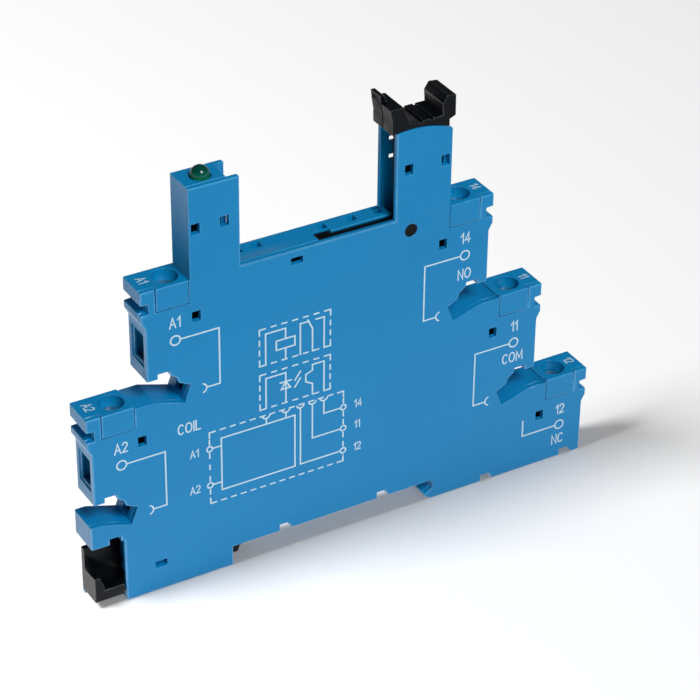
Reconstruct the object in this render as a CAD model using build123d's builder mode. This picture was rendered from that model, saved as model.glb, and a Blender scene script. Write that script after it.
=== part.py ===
from build123d import *
import os

os.makedirs("parts", exist_ok=True)

# A slim carrier for a plug-in relay, clipped on a 35 mm rail. Millimetres.
# +X runs along the carrier to the contact terminals, +Z points away from the rail,
# -Y is the cover side. The origin is on the rail seat, in the middle of the thickness.

# casing
thickness = 6.2
cover_wall = 1.0
rear_wall = 1.0
rim_wall = 0.9
first_tier = 13.3
tier_rise = 20.35
contact_plate = 7.78
contact_step = 10.5
coil_plate = 7.93
coil_step = 10.1
base_drop = 3.68
base_inset = 5.1
over = 0.1  # how far a cut runs past the face that it opens

# terminals
plate_overhang = 0.7
plate_skirt = 5.5
skirt_run_out = 1.3
tab_start = 2.0
tab_end = 7.65
tab_drop = 4.15
tab_gap = 0.12
shaft_gap = 0.25
shaft_floor = 3.45
shaft_shoulder = 0.95
shoulder_gap = 0.15
axis_inset = 4.6
coil_axis_inset = 5.1
marker_depth = 1.4
marker_top = 2.4
marker_height = 1.85
marker_slope = 0.15
entry_width = 3.4
entry_top = 8.7
entry_bottom = 13.8
entry_frame = 0.45
entry_recess = 0.3
entry_wall = 0.3

# jumper slots between the terminals
slot_mouth = 3.0
slot_roof = 16.6
slot_peak = 15.6
slot_peak_start = 2.0
slot_peak_end = 4.1
slot_peak_run = 0.2
slot_shoulder = 5.3
slot_shoulder_drop = 0.8
slot_throat = 5.6
slot_throat_drop = 1.8
slot_tip_depth = 7.6
slot_tip_run = 1.1
slot_tip_rise = 0.95
slot_tip_sink = 2.05
slot_sink = 0.35
slot_shelf_end = 1.1
slot_shelf_lip = 2.6
fork_window = 2.0
fork_window_depth = 1.6

# relay bay and towers
relay_length = 28.0
relay_fit = 0.07
relay_centre = -4.9
lamp_tower_width = 8.9
lamp_tower_rise = 16.0
lamp_channel = 1.9
clip_tower_width = 10.25
floor_wall = 1.3
pin_row_inset = 0.65
pin_hole = 1.7
pin_taper = 0.45
coil_pin_insets = (1.57, 5.07)
contact_pin_insets = (11.27, 5.77, 0.87)
sight_hole_inset = 1.6
sight_hole_width = 1.6
sight_hole_height = 1.2
sight_hole_drops = (3.9, 7.2)

# snap hooks and their windows in the cover
hook_window_width = 1.55
hook_window_height = 1.9
wide_window_width = 2.2
wide_window_height = 1.3
hook_gap = 0.12
hook_sunk = 0.75
hook_height = 0.5
hook_root = 0.8
hook_post = 1.8
hook_inset = 8.9
hook_drop = 6.9
tower_window_drop = 7.2
tower_window_edge = 0.35
channel_window_inset = 0.8
lever_window_inset = 2.3
bay_window_offset = 4.0
bay_window_drop = 2.0
foot_window_inset = 6.4
foot_window_rise = 0.85

# rail side
rail_seat_left = 21.1
rail_hook_reach = 17.7
rail_hook_lip = 16.1
rail_hook_round = 0.4
rail_play = 1.45
notch_width = 2.2
notch_height = 1.35
notch_slope = 0.9
roof_notches = (-12.15, 6.7)
base_notch_inset = 0.5
end_notch_inset = 4.05
lip_reach = 5.9
lip_bottom = 8.5
lip_step = 0.15
lip_notch_inset = 3.3
lip_notch_gap = 0.6
lip_notch_height = 1.2

# lever
pivot_inset = 2.93
pivot_drop = 2.5
lever_sweep = 18.4
pivot_radius = 1.15
running_gap = 0.05
hub_radius = 2.0
head_gap = 0.15
lever_gap = 0.1
lever_thick = 2.6
arm_thick = 1.25
arm_drop = 0.25
arm_root = 0.6
arm_height = 1.3
arm_slot_gap = 0.2
paddle_offset = 0.8
paddle_length = 2.5
paddle_thick = 2.2
paddle_height = 1.2
paddle_play = 0.3
head_overhang = 1.37
tail_overhang = 0.63
head_skirt = 1.4
jaw_rise = 4.3
nib_rise = 5.6
platform_rise = 1.05
platform_start = 3.8
platform_end = 2.4
groove_width = 0.45
groove_depth = 0.35
split_width = 0.24
split_depth = 0.75
split_height = 1.6
stem_root_half = 1.3
stem_front = 1.6
stem_back = 1.1
stem_sunk = 0.8

# clamps
screw_radius = 1.25
thread_gap = 0.04
head_radius = 1.9
head_height = 1.6
head_chamfer = 0.25
drive_width = 0.55
drive_depth = 0.7
drive_cross = 2.3
clamp_length = 5.2
clamp_side_gap = 0.1
clamp_wall = 0.6
clamp_roof = 1.0
clamp_floor = 0.7
clamp_top = 7.0
clamp_bottom = 14.6
clamp_round = 0.3
grip_rib = 0.4
grip_rise = 0.2
grip_pitch = 1.3
bar_top = 8.8
bar_thick = 0.8
bar_side_gap = 0.1
bar_end_inset = 0.4
strip_thick = 0.6
strip_width = 1.5
bend_gap = 0.2
leaf_thick = 0.3
leaf_gap = 0.45
leaf_depth = 1.2
leaf_drop = 1.4
leaf_length = 6.0
leaf_heel = 0.5
pin_strip_half = 0.8
fork_inset = 9.2
branch_start = 8.9
branch_width = 1.2
fork_sink = 0.55
fork_length = 1.5
fork_gap = 0.8
fork_prong = 0.55
fork_thick = 0.8
fork_play = 0.12

# circuit board and what is on it
board_inset = 2.57
board_reach = 0.3
board_bottom = 8.0
board_drop = 7.6
board_thick = 1.0
tail_length = 1.5
receptacle_foot = 2.5
lamp_inset = 3.67
lamp_radius = 1.6
lamp_gap = 0.15
lamp_flange_lip = 0.3
lamp_flange_height = 1.0
lamp_seat = 3.8
lamp_rise = 0.2
lead_pitch = 2.0
lead_size = 0.5
lead_drop = 1.0
left_row = 3.8
right_row = 5.4
low_row = 6.0
high_row = 25.0
rectifier_size = (4.8, 2.4, 4.2)
rectifier_chamfer = 0.3
capacitor_size = (6.5, 2.6, 13.0)
capacitor_round = 0.8
resistor_radius = 1.2
resistor_length = 7.0
resistor_pitch = 3.6
varistor_radius = 3.5
varistor_thick = 2.4
varistor_rise = 0.5

# rail foot
foot_reach = 5.6
foot_bottom = 2.35
foot_bar = 2.05
foot_side_gap = 0.1
foot_front_gap = 0.25
foot_wall = 1.1
foot_wall_top = 2.3
foot_back_top = 6.2
foot_floor_run = 0.6
foot_travel = 2.8
foot_guide = 0.1
boss_thick = 0.9
boss_width = 1.7
boss_shoulder = 0.5
boss_rise = 0.2
bar_end_inset_foot = 2.0
guide_wall = 0.9
guide_gap = 0.2
guard_inset = 0.4
guard_top = 1.25
mouth_drop = 0.5
nose_thick = 2.5
nose_tip = 16.6
nose_drop = 3.4
nose_step = 18.6
nose_root = 2.4
nose_clear = 0.8
nose_bevel = 1.7
rail_flange = 1.15
pocket_inset = 2.4
pocket_right = 27.2
pocket_width = 2.2
stop_width = 1.0
stop_gap = 0.2
stop_bottom_gap = 0.2
spring_radius = 0.82
spring_wire = 0.25
spring_turns = 9

# places worked out from the sizes above
front_y = -thickness / 2
rear_y = thickness / 2
cavity_front = front_y + cover_wall
cavity_back = rear_y - rear_wall
deck_top = first_tier + 2 * tier_rise
bay_left = relay_centre - relay_length / 2 - relay_fit
bay_right = relay_centre + relay_length / 2 + relay_fit
lamp_left = bay_left - lamp_tower_width
lamp_tower_top = deck_top + lamp_tower_rise
clip_right = bay_right + clip_tower_width
channel_wall = bay_left - lamp_channel
coil_edge = coil_plate - lamp_left
contact_edge = clip_right + contact_plate
base_left = coil_edge + coil_step - base_inset
pivot_x = bay_right + pivot_inset
pivot_z = deck_top - pivot_drop
stem_top = pivot_z + lever_sweep
lever_front = cavity_front + lever_gap
arm_tip = relay_centre + paddle_offset
pin_row_y = cavity_back - pin_row_inset
coil_pins = [bay_left + inset for inset in coil_pin_insets]
contact_pins = [bay_right - inset for inset in contact_pin_insets]
leaf_top = deck_top - leaf_drop
hook_back = cavity_front + hook_root
shaft_radius = head_radius + shaft_gap
screw_tip = bar_top - running_gap
cage_front = cavity_front + clamp_side_gap
cage_back = cavity_back - clamp_side_gap
tongue_front = cage_front + clamp_wall + bar_side_gap
tongue_back = cage_back - clamp_wall - bar_side_gap
strip_front = cavity_back - strip_thick
fork_drop = tier_rise + fork_sink
board_front = cavity_back - board_thick
board_left = lamp_left + board_inset
board_right = relay_centre + board_reach
board_top = deck_top - board_drop
lamp_x = lamp_left + lamp_inset
lamp_base = lamp_tower_top - lamp_seat
lamp_centre = lamp_tower_top + lamp_rise
foot_left = base_left + foot_reach
foot_back = cavity_back - foot_side_gap
nose_front = foot_back - nose_thick
pocket_left = base_left - pocket_inset
guide_bottom = -foot_bottom + foot_bar + foot_guide

# each terminal: name, outer edge of its column, top of its plate, side it faces
terminals = [
    ("a1", -coil_edge, deck_top, -1),
    ("a2", -coil_edge - coil_step, deck_top - tier_rise, -1),
    ("14", contact_edge, deck_top, 1),
    ("11", contact_edge + contact_step, deck_top - tier_rise, 1),
    ("12", contact_edge + 2 * contact_step, first_tier, 1),
]
slotted = terminals[:4]
pins = {"14": contact_pins[2], "11": contact_pins[1], "12": contact_pins[0]}


def side_plane(y):
    return Plane(origin=(0, y, 0), x_dir=(1, 0, 0), z_dir=(0, -1, 0))


def inward(edge, top, side, points):
    placed = [(edge - side * depth, top + height) for depth, height in points]
    return placed if side > 0 else placed[::-1]


def profile(y, points):
    with BuildSketch(side_plane(y)) as shape:
        with BuildLine():
            Polyline(*points, close=True)
        make_face()
    return shape.sketch


def block(x_range, y_range, z_range, mode=Mode.ADD):
    low = (x_range[0], y_range[0], z_range[0])
    high = (x_range[1], y_range[1], z_range[1])
    centre = [(a + b) / 2 for a, b in zip(low, high)]
    with Locations(tuple(centre)):
        Box(high[0] - low[0], high[1] - low[1], high[2] - low[2], mode=mode)


def span(edge, side, start, end):
    ends = (edge - side * start, edge - side * end)
    return (min(ends), max(ends))


def axis_depth(side):
    return axis_inset if side > 0 else coil_axis_inset


def axis_of(edge, side):
    return edge - side * axis_depth(side)


# outline shared by the cover and the rear half, as (depth into the column, height from its plate)
terminal_skirt = [
    (over, 0),
    (over, -plate_skirt - skirt_run_out),
    (0, -plate_skirt - skirt_run_out),
    (-plate_overhang, -plate_skirt),
    (-plate_overhang, 0),
]
marker_groove = [
    (-plate_overhang - over, -marker_top),
    (-plate_overhang - over, -marker_top - marker_height),
    (-plate_overhang, -marker_top - marker_height),
    (marker_depth - plate_overhang, -marker_top - marker_height + marker_slope),
    (marker_depth - plate_overhang, -marker_top),
]
jumper_slot = [
    (-slot_mouth, -slot_roof),
    (slot_peak_start, -slot_roof),
    (slot_peak_start, -slot_peak),
    (slot_peak_end - slot_peak_run, -slot_peak),
    (slot_peak_end, -slot_roof + over),
    (slot_shoulder, -slot_roof - slot_shoulder_drop),
    (slot_throat, -slot_roof - slot_throat_drop),
    (slot_tip_depth, -tier_rise + slot_tip_rise),
    (slot_tip_depth - slot_tip_run, -tier_rise - slot_tip_sink),
    (slot_shelf_end, -tier_rise - slot_sink),
    (-slot_shelf_lip, -tier_rise - slot_sink),
    (-slot_shelf_lip, -tier_rise),
    (-slot_mouth, -tier_rise),
]
rail_recess = [
    (-rail_seat_left, -base_drop - 1),
    (rail_hook_reach - 0.3, -base_drop - 1),
    (rail_hook_reach - 0.3, -base_drop),
    (rail_hook_lip + 0.2, -base_drop + 0.6),
    (rail_hook_lip, -base_drop + 1.2),
    (rail_hook_reach, -rail_play),
    (rail_hook_reach, -rail_hook_round),
    (rail_hook_reach - rail_hook_round, 0),
    (-rail_seat_left, 0),
]
base_notches = (
    contact_edge + base_notch_inset,
    contact_edge + 2 * contact_step - end_notch_inset,
)


def rim_notch(left, base):
    return [
        (left, base - over),
        (left + notch_width, base - over),
        (left + notch_width, base),
        (left + notch_width - notch_slope, base + notch_height),
        (left, base + notch_height),
    ]


with BuildSketch() as body_outline:
    mid_top = first_tier + tier_rise
    lip_left = base_left + lip_reach
    columns = [
        (-coil_edge, contact_edge, mid_top - 1, deck_top),
        (-coil_edge - coil_step, contact_edge + contact_step, first_tier - 0.5, mid_top),
        (-base_left, contact_edge + 2 * contact_step, -base_drop, first_tier),
        (lamp_left, bay_left, deck_top - 1, lamp_tower_top),
        (-lip_left, -base_left + 1, lip_bottom, first_tier + lip_step),
    ]
    for left, right, bottom, top in columns:
        with Locations(((left + right) / 2, (bottom + top) / 2)):
            Rectangle(right - left, top - bottom)
    with BuildLine():
        arc_left = pivot_z + (lever_sweep**2 - (bay_right - pivot_x) ** 2) ** 0.5
        arc_right = pivot_z + (lever_sweep**2 - (clip_right - pivot_x) ** 2) ** 0.5
        Line((bay_right, deck_top - 1), (clip_right, deck_top - 1))
        Line((clip_right, deck_top - 1), (clip_right, arc_right))
        ThreePointArc((clip_right, arc_right), (pivot_x, stem_top), (bay_right, arc_left))
        Line((bay_right, arc_left), (bay_right, deck_top - 1))
    make_face()
    for name, edge, top, side in terminals:
        Polygon(*inward(edge, top, side, terminal_skirt), align=None)
    for name, edge, top, side in terminals:
        Polygon(*inward(edge, top, side, marker_groove), align=None, mode=Mode.SUBTRACT)
    for name, edge, top, side in slotted:
        Polygon(*inward(edge, top, side, jumper_slot), align=None, mode=Mode.SUBTRACT)
    Polygon(*rail_recess, align=None, mode=Mode.SUBTRACT)
    for left in roof_notches:
        Polygon(*rim_notch(left, 0), align=None, mode=Mode.SUBTRACT)
    for left in base_notches:
        Polygon(*rim_notch(left, -base_drop), align=None, mode=Mode.SUBTRACT)
    # the lip is open towards the foot at its lower corner
    notch_start = -lip_left + lip_notch_inset
    notch_end = -base_left - lip_notch_gap
    with Locations(((notch_start + notch_end) / 2, lip_bottom + (lip_notch_height - over) / 2)):
        Rectangle(notch_end - notch_start, lip_notch_height + over, mode=Mode.SUBTRACT)

with BuildSketch() as cavity_outline:
    add(body_outline.sketch)
    offset(amount=-rim_wall, kind=Kind.INTERSECTION, mode=Mode.REPLACE)


def outline_at(y):
    with BuildSketch(side_plane(y)) as placed:
        add(body_outline.sketch)
    return placed.sketch


def cavity_at(y):
    with BuildSketch(side_plane(y)) as placed:
        add(cavity_outline.sketch)
    return placed.sketch


# windows in the cover: centre, width and height
def window_at(x, z, width=hook_window_width, height=hook_window_height):
    return (x, z, width, height)


def opening(window, margin=0.0):
    x, z, width, height = window
    across = (x - width / 2 + margin, x + width / 2 - margin)
    return across, (z - height / 2 + margin, z + height / 2 - margin)


def hook_range(window):
    across, levels = opening(window, hook_gap)
    return across, (levels[1] - hook_height, levels[1])


tower_level = lamp_tower_top - tower_window_drop
tower_margin = tower_window_edge + hook_window_width / 2
terminal_windows = [
    window_at(*inward(edge, top, side, [(hook_inset, -hook_drop)])[0]) for name, edge, top, side in terminals
]
tower_windows = [
    window_at(lamp_left + tower_margin, tower_level),
    window_at(channel_wall - channel_window_inset, tower_level),
    window_at(clip_right - tower_margin, tower_level),
]
lever_window = window_at(bay_right + lever_window_inset, tower_level)
bay_window = window_at(
    relay_centre - bay_window_offset,
    deck_top - bay_window_drop,
    wide_window_width,
    wide_window_height,
)
foot_window = window_at(
    -base_left + foot_window_inset,
    guide_bottom + guide_wall + foot_window_rise,
    wide_window_width,
    wide_window_height,
)

# rear half of the casing: back wall, rim, terminal plates, floor and towers
with BuildPart() as rear_housing:
    extrude(outline_at(rear_y), amount=rear_wall + cavity_back - cavity_front)
    extrude(cavity_at(cavity_back), amount=cavity_back - cavity_front, mode=Mode.SUBTRACT)
    # terminal plates, each with a tab that shows through the cover
    for name, edge, top, side in terminals:
        depth = span(edge, side, tab_start, tab_end)
        block(depth, (front_y, cavity_back), (top - tab_drop, top))
        outer = span(edge, side, -plate_overhang + rim_wall / 2, tab_start)
        block(outer, (cavity_front, cavity_back), (top - marker_top, top))
        block(depth, (cavity_front, cavity_back), (top - shaft_floor - shaft_shoulder, top - 1))
    # floor of the relay bay
    block((channel_wall, bay_right), (cavity_front, cavity_back), (deck_top - floor_wall, deck_top))
    # open channel on the lamp tower's side of the bay
    block(
        (channel_wall, bay_left + over),
        (cavity_front, cavity_back),
        (deck_top, lamp_tower_top + over),
        mode=Mode.SUBTRACT,
    )
    block(
        (channel_wall - rim_wall, channel_wall),
        (cavity_front, cavity_back),
        (deck_top - floor_wall, lamp_tower_top),
    )
    # clip tower: open to the bay and at the top
    block(
        (bay_right - over, clip_right - rim_wall),
        (cavity_front, cavity_back),
        (deck_top, stem_top + over),
        mode=Mode.SUBTRACT,
    )
    block(
        (bay_right + rim_wall, clip_right - rim_wall),
        (cavity_front, cavity_back),
        (deck_top - floor_wall - over, deck_top + over),
        mode=Mode.SUBTRACT,
    )
    # slot in the floor for the ejector arm and its wider tip
    block(
        (arm_tip - paddle_play, bay_right + rim_wall + over),
        (cavity_front - over, lever_front + arm_thick + arm_slot_gap),
        (deck_top - floor_wall - over, deck_top + over),
        mode=Mode.SUBTRACT,
    )
    block(
        (arm_tip - paddle_play, arm_tip + paddle_length + paddle_play),
        (cavity_front - over, lever_front + paddle_thick + arm_slot_gap),
        (deck_top - floor_wall - over, deck_top + over),
        mode=Mode.SUBTRACT,
    )
    # tapered holes for the relay's pins
    for pin in coil_pins + contact_pins:
        with BuildSketch(Plane.XY.offset(deck_top)) as pin_mouth:
            with Locations((pin, pin_row_y)):
                Rectangle(pin_hole, pin_hole)
        with BuildSketch(Plane.XY.offset(deck_top - floor_wall)) as pin_throat:
            with Locations((pin, pin_row_y)):
                Rectangle(pin_hole - pin_taper, pin_hole - pin_taper)
        loft([pin_mouth.sketch.face(), pin_throat.sketch.face()], mode=Mode.SUBTRACT)
    # screw shafts with a shoulder under the screw's head
    for name, edge, top, side in terminals:
        with Locations((axis_of(edge, side), 0, top - shaft_floor / 2)):
            Cylinder(shaft_radius, shaft_floor, mode=Mode.SUBTRACT)
        with Locations((axis_of(edge, side), 0, top - shaft_floor - shaft_shoulder / 2)):
            Cylinder(screw_radius + shoulder_gap, shaft_shoulder + 2 * over, mode=Mode.SUBTRACT)
    # wire entries with a stepped frame
    for name, edge, top, side in terminals:
        levels = (top - entry_bottom, top - entry_top)
        half = entry_width / 2
        block(
            span(edge, side, -plate_overhang, rim_wall + entry_wall),
            (-half, half),
            levels,
            mode=Mode.SUBTRACT,
        )
        block(
            span(edge, side, -plate_overhang, entry_recess),
            (-half - entry_frame, half + entry_frame),
            (levels[0] - entry_frame, levels[1] + entry_frame),
            mode=Mode.SUBTRACT,
        )
    # windows at the tips of the jumper slots
    fork_half = fork_gap / 2 + fork_prong + fork_play
    for name, edge, top, side in slotted:
        block(
            span(edge, side, slot_tip_depth - fork_window_depth, slot_tip_depth + rim_wall + entry_wall),
            (-fork_window / 2, fork_window / 2),
            (top - fork_drop - fork_half, top - fork_drop + fork_half),
            mode=Mode.SUBTRACT,
        )
    # pivot bearing in the back wall
    with Locations((pivot_x, (cavity_back + rear_y) / 2, pivot_z)):
        Cylinder(pivot_radius + running_gap, rear_wall, rotation=(90, 0, 0), mode=Mode.SUBTRACT)
    # see-through windows beside the lever, in the back wall of the clip tower
    sight_start = bay_right + sight_hole_inset
    for drop in sight_hole_drops:
        block(
            (sight_start, sight_start + sight_hole_width),
            (cavity_back, rear_y),
            (stem_top - drop - sight_hole_height / 2, stem_top - drop + sight_hole_height / 2),
            mode=Mode.SUBTRACT,
        )
    # hole for the status lamp
    with Locations((lamp_x, 0, lamp_tower_top - rim_wall / 2)):
        Cylinder(lamp_radius + lamp_gap, rim_wall + 2 * over, mode=Mode.SUBTRACT)
    # back wall behind the rail foot
    block((-foot_left + guard_inset, -base_left + over), (cavity_back, rear_y), (-base_drop, guard_top))
    # foot channel: open end, guide rib, spring stop and nose exit
    block(
        (-base_left - over, -base_left + rim_wall + over),
        (cavity_front, cavity_back),
        (-foot_bottom - foot_guide, lip_bottom - mouth_drop),
        mode=Mode.SUBTRACT,
    )
    block(
        (-base_left, -rail_seat_left),
        (cavity_front, cavity_back),
        (-base_drop, -foot_bottom - foot_guide),
    )
    block(
        (-base_left + rim_wall + guide_gap, -rail_seat_left),
        (cavity_front, cavity_back),
        (guide_bottom, guide_bottom + guide_wall),
    )
    stop_start = -pocket_left + stop_gap
    stop_half = pocket_width / 2 - stop_gap
    block(
        (stop_start, stop_start + stop_width),
        (-stop_half, stop_half),
        (-foot_bottom + stop_bottom_gap, guide_bottom + over),
    )
    block(
        (-rail_seat_left - rim_wall - over, -rail_seat_left + over),
        (nose_front - foot_side_gap, cavity_back),
        (-base_drop - over, guide_bottom),
        mode=Mode.SUBTRACT,
    )
    block(
        (-nose_step - foot_travel - nose_root - nose_clear, -rail_seat_left),
        (nose_front - foot_side_gap, cavity_back),
        (-base_drop - over, -foot_bottom),
        mode=Mode.SUBTRACT,
    )
    # snap hooks that catch the upper edge of the cover's windows
    for window in terminal_windows:
        across, levels = hook_range(window)
        block(across, (front_y + hook_sunk, cavity_back), levels)
    for window in tower_windows + [bay_window, foot_window]:
        across, levels = hook_range(window)
        block(across, (front_y + hook_sunk, hook_back), levels)
    # posts that carry the two wide hooks, from the bay's floor and from the guide rib
    for window, carrier in ((bay_window, deck_top - floor_wall), (foot_window, guide_bottom + guide_wall)):
        levels = hook_range(window)[1] + (carrier,)
        post = (window[0] - hook_post / 2, window[0] + hook_post / 2)
        block(post, (cavity_front, hook_back), (min(levels), max(levels)))
rear_housing.part.label = "rear_housing"
export_step(rear_housing.part, "parts/rear_housing.step")

# flat cover, snapped over the pegs
with BuildPart() as front_cover:
    extrude(outline_at(cavity_front), amount=cover_wall)
    for name, edge, top, side in terminals:
        block(
            span(edge, side, tab_start - tab_gap, tab_end + tab_gap),
            (front_y - over, cavity_front + over),
            (top - tab_drop - tab_gap, top + over),
            mode=Mode.SUBTRACT,
        )
    for window in terminal_windows + tower_windows + [lever_window, bay_window, foot_window]:
        across, levels = opening(window)
        block(across, (front_y - over, cavity_front + over), levels, mode=Mode.SUBTRACT)
    with Locations((pivot_x, (front_y + cavity_front) / 2, pivot_z)):
        Cylinder(pivot_radius + running_gap, cover_wall + 2 * over, rotation=(90, 0, 0), mode=Mode.SUBTRACT)
front_cover.part.label = "front_cover"
export_step(front_cover.part, "parts/front_cover.step")

# retaining and ejector lever: head, stem, hub with its own pivots, and arm
head_front = front_y + head_gap
head_back = rear_y - head_gap
head_left = bay_right - head_overhang
head_right = clip_right + tail_overhang
jaw_top = stem_top + jaw_rise
platform_top = stem_top + platform_rise
arm_top = deck_top - arm_drop
head_profile = [
    (head_left + 0.45, stem_top - head_skirt),
    (head_right - 1.1, stem_top - head_skirt),
    (head_right - 1.1, stem_top),
    (head_right, stem_top + 0.5),
    (head_right - 0.05, jaw_top - 0.1),
    (head_right - 1.7, jaw_top + 0.1),
    (head_right - 2.55, jaw_top - 1.2),
    (head_right - platform_end, platform_top),
    (head_left + platform_start, platform_top),
    (head_left + 2.5, jaw_top),
    (head_left, jaw_top),
    (head_left + 0.4, jaw_top - 2.2),
]
nib_profile = [
    (head_left + 0.1, jaw_top - 0.3),
    (head_left + 1.4, jaw_top - 0.3),
    (head_left + 0.6, stem_top + nib_rise),
    (head_left - 0.15, stem_top + nib_rise),
]
arm_profile = [
    (arm_tip, arm_top),
    (arm_tip, arm_top - arm_height),
    (pivot_x - 2.0, pivot_z - 1.3),
    (pivot_x, pivot_z - 0.5),
    (pivot_x, pivot_z + 1.2),
    (bay_right + arm_root, arm_top),
]
stem_profile = [
    (pivot_x - stem_root_half, pivot_z),
    (pivot_x + stem_root_half, pivot_z),
    (pivot_x + stem_back, stem_top + stem_sunk),
    (pivot_x - stem_front, stem_top + stem_sunk),
]
with BuildPart() as ejector_lever:
    extrude(profile(head_back, head_profile), amount=head_back - head_front)
    with Locations((pivot_x, 0, pivot_z)):
        Cylinder(lever_sweep + head_gap, thickness, rotation=(90, 0, 0), mode=Mode.SUBTRACT)
    extrude(profile(head_back, nib_profile), amount=head_back)
    platform_width = head_right - head_left - platform_start - platform_end
    for share in (1 / 3, 2 / 3):
        x = head_left + platform_start + share * platform_width
        block(
            (x - groove_width / 2, x + groove_width / 2),
            (head_front - over, head_back + over),
            (platform_top - groove_depth, platform_top + over),
            mode=Mode.SUBTRACT,
        )
    block(
        (head_left - over, head_left + split_depth),
        (-split_width / 2, split_width / 2),
        (platform_top - split_height, jaw_top + over),
        mode=Mode.SUBTRACT,
    )
    extrude(profile(lever_front + lever_thick, stem_profile), amount=lever_thick)
    with Locations((pivot_x, lever_front + lever_thick / 2, pivot_z)):
        Cylinder(hub_radius, lever_thick, rotation=(90, 0, 0))
    extrude(profile(lever_front + arm_thick, arm_profile), amount=arm_thick)
    block(
        (arm_tip, arm_tip + paddle_length),
        (lever_front, lever_front + paddle_thick),
        (arm_top - paddle_height, arm_top),
    )
    with Locations((pivot_x, (head_front + head_back) / 2, pivot_z)):
        Cylinder(pivot_radius, head_back - head_front, rotation=(90, 0, 0))
ejector_lever.part.label = "ejector_lever"
export_step(ejector_lever.part, "parts/ejector_lever.step")

# clamps: a captive screw, a rising cage and the contact bar between them
for name, edge, top, side in terminals:
    axis_x = axis_of(edge, side)
    with BuildPart() as screw:
        head_low = top - shaft_floor
        with Locations((axis_x, 0, head_low + head_height / 2)):
            Cylinder(head_radius, head_height)
        chamfer(screw.edges().filter_by(GeomType.CIRCLE).sort_by(Axis.Z)[-1], length=head_chamfer)
        for size in ((2 * head_radius + over, drive_width), (drive_width, drive_cross)):
            with Locations((axis_x, 0, head_low + head_height - drive_depth / 2)):
                Box(size[0], size[1], drive_depth, mode=Mode.SUBTRACT)
        with Locations((axis_x, 0, (head_low + top - screw_tip) / 2)):
            Cylinder(screw_radius, head_low - top + screw_tip)
    screw.part.label = "clamp_screw_" + name
    export_step(screw.part, "parts/clamp_screw_" + name + ".step")

    with BuildPart() as cage:
        half = clamp_length / 2
        inside = (cage_front + clamp_wall, cage_back - clamp_wall)
        inside_floor = top - clamp_bottom + clamp_floor
        block((axis_x - half, axis_x + half), (cage_front, cage_back), (top - clamp_bottom, top - clamp_top))
        block(
            (axis_x - half - over, axis_x + half + over),
            inside,
            (inside_floor, top - clamp_top - clamp_roof),
            mode=Mode.SUBTRACT,
        )
        with Locations((axis_x, 0, top - clamp_top - clamp_roof / 2)):
            Cylinder(screw_radius + thread_gap, clamp_roof + 2 * over, mode=Mode.SUBTRACT)
        for step in (-1, 0, 1):
            rib = axis_x + step * grip_pitch
            block((rib - grip_rib / 2, rib + grip_rib / 2), inside, (inside_floor, inside_floor + grip_rise))
        fillet(cage.edges().filter_by(Axis.X).group_by(Axis.Z)[0], radius=clamp_round)
    cage.part.label = "clamp_cage_" + name
    export_step(cage.part, "parts/clamp_cage_" + name + ".step")

    with BuildPart() as contact:
        bend_start = axis_depth(side) + clamp_length / 2 + bend_gap
        bend_end = bend_start + bar_thick
        bar_levels = (top - bar_top - bar_thick, top - bar_top)
        bar_start = axis_depth(side) - clamp_length / 2 + bar_end_inset
        block(span(edge, side, bar_start, bend_end), (tongue_front, tongue_back), bar_levels)
        block(span(edge, side, bend_start, bend_end), (tongue_front, cavity_back), bar_levels)
        strip_low = top - bar_top - strip_width
        if name in pins:
            # strip along the back wall to the relay's pin, ending in two spring leaves
            pin = pins[name]
            reach_x = edge - side * bend_end
            strip = (pin - pin_strip_half, pin + pin_strip_half)
            block((strip[0], reach_x), (strip_front, cavity_back), (strip_low, top - bar_top))
            block(strip, (strip_front, cavity_back), (strip_low, leaf_top - leaf_length))
            block(
                (pin - leaf_gap - leaf_thick, pin + leaf_gap + leaf_thick),
                (cavity_back - leaf_thick, cavity_back),
                (leaf_top - leaf_length - leaf_heel, leaf_top),
            )
            for leaf in (-1, 1):
                centre = pin + leaf * (leaf_gap + leaf_thick / 2)
                block(
                    (centre - leaf_thick / 2, centre + leaf_thick / 2),
                    (cavity_back - leaf_depth, cavity_back),
                    (leaf_top - leaf_length, leaf_top),
                )
        else:
            # tail soldered to the circuit board
            block(
                (edge + bend_start, board_left + tail_length),
                (board_front - strip_thick, board_front),
                (strip_low, top - bar_top),
            )
        if name != "12":
            # branch down to the fork that a jumper link plugs into
            fork_z = top - fork_drop
            branch_end = branch_start + branch_width
            fork_half = fork_gap / 2 + fork_prong
            block(
                span(edge, side, branch_start, branch_end),
                (strip_front, cavity_back),
                (fork_z - fork_half, top - bar_top),
            )
            block(
                span(edge, side, bend_start, branch_end),
                (strip_front, cavity_back),
                (strip_low, top - bar_top),
            )
            block(
                span(edge, side, branch_start + over, branch_end),
                (-fork_thick / 2, cavity_back),
                (fork_z - fork_half, fork_z + fork_half),
            )
            for prong in (-1, 1):
                level = fork_z + prong * (fork_gap + fork_prong) / 2
                block(
                    span(edge, side, fork_inset - fork_length, fork_inset),
                    (-fork_thick / 2, fork_thick / 2),
                    (level - fork_prong / 2, level + fork_prong / 2),
                )
    contact.part.label = "contact_" + name
    export_step(contact.part, "parts/contact_" + name + ".step")

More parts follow.
